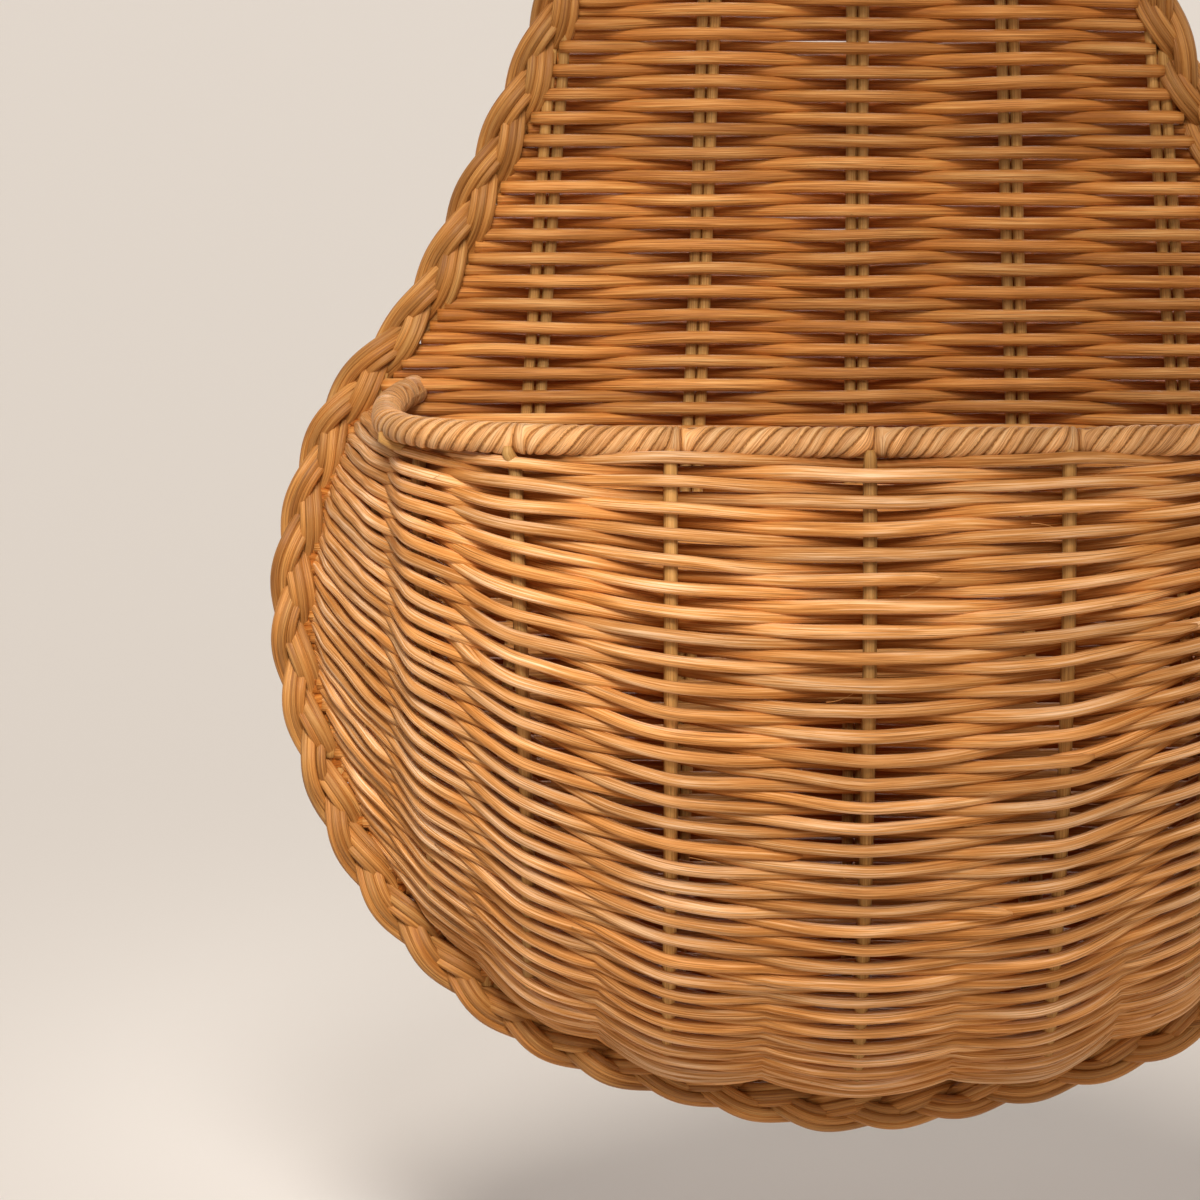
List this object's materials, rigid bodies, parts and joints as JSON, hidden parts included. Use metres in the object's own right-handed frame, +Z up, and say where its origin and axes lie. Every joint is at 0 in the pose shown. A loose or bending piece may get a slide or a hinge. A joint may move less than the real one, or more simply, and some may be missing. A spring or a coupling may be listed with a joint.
{
  "type": "wall basket",
  "caption": "Wall basket of woven rattan: a pear-shaped back panel with a plaited border, a round woven pocket with a cane-wrapped rim, and a hanging loop at the top",
  "frame": {"origin": "inner top of the hanging loop's eye, where the nail bears, in the plane of the wall", "axes": "+Z up, +Y out of the back of the basket into the wall, +X to the right of someone who faces the basket; the pocket bulges towards -Y"},
  "size_m": [0.2934, 0.1091, 0.3648],
  "materials": {
    "woven_reed_honey": "bare round rattan reed, honey brown, satin",
    "woven_reed_amber": "bare round rattan reed, amber brown, satin",
    "stake_olive": "bare round rattan rod, olive beige, satin",
    "plait_tan": "bare round rattan reed, plaited, tan, satin",
    "cane_skin": "flat strip of rattan skin, pale honey, slight gloss"
  },
  "bodies": {
    "root": {"border_strand_1": "plait_tan", "border_strand_2": "plait_tan", "border_strand_3": "plait_tan", "back_stake_01": "stake_olive", "back_stake_02": "stake_olive", "back_stake_03": "stake_olive", "back_stake_04": "stake_olive", "back_stake_05": "stake_olive", "back_stake_06": "stake_olive", "back_stake_07": "stake_olive", "back_stake_08": "stake_olive", "back_stake_09": "stake_olive", "back_stake_10": "stake_olive", "back_stake_11": "stake_olive", "back_stake_12": "stake_olive", "back_stake_13": "stake_olive", "back_stake_14": "stake_olive", "pocket_stake_01": "stake_olive", "pocket_stake_02": "stake_olive", "pocket_stake_03": "stake_olive", "pocket_stake_04": "stake_olive", "pocket_stake_05": "stake_olive", "pocket_stake_06": "stake_olive", "pocket_stake_07": "stake_olive", "pocket_stake_08": "stake_olive", "pocket_stake_09": "stake_olive", "pocket_stake_10": "stake_olive", "pocket_stake_11": "stake_olive", "back_weaver_01": "woven_reed_amber", "back_weaver_02": "woven_reed_amber", "back_weaver_03": "woven_reed_amber", "back_weaver_04": "woven_reed_amber", "back_weaver_05": "woven_reed_amber", "back_weaver_06": "woven_reed_amber", "back_weaver_07": "woven_reed_amber", "back_weaver_08": "woven_reed_amber", "back_weaver_09": "woven_reed_amber", "back_weaver_10": "woven_reed_amber", "pocket_weaver_01": "woven_reed_honey", "pocket_weaver_02": "woven_reed_honey", "pocket_weaver_03": "woven_reed_honey", "pocket_weaver_04": "woven_reed_honey", "pocket_weaver_05": "woven_reed_honey", "pocket_weaver_06": "woven_reed_honey", "pocket_weaver_07": "woven_reed_honey", "pocket_weaver_08": "woven_reed_honey", "pocket_weaver_09": "woven_reed_honey", "rim_core": "stake_olive", "rim_binding": "cane_skin", "hanging_loop": "cane_skin"}
  },
  "joints": []
}
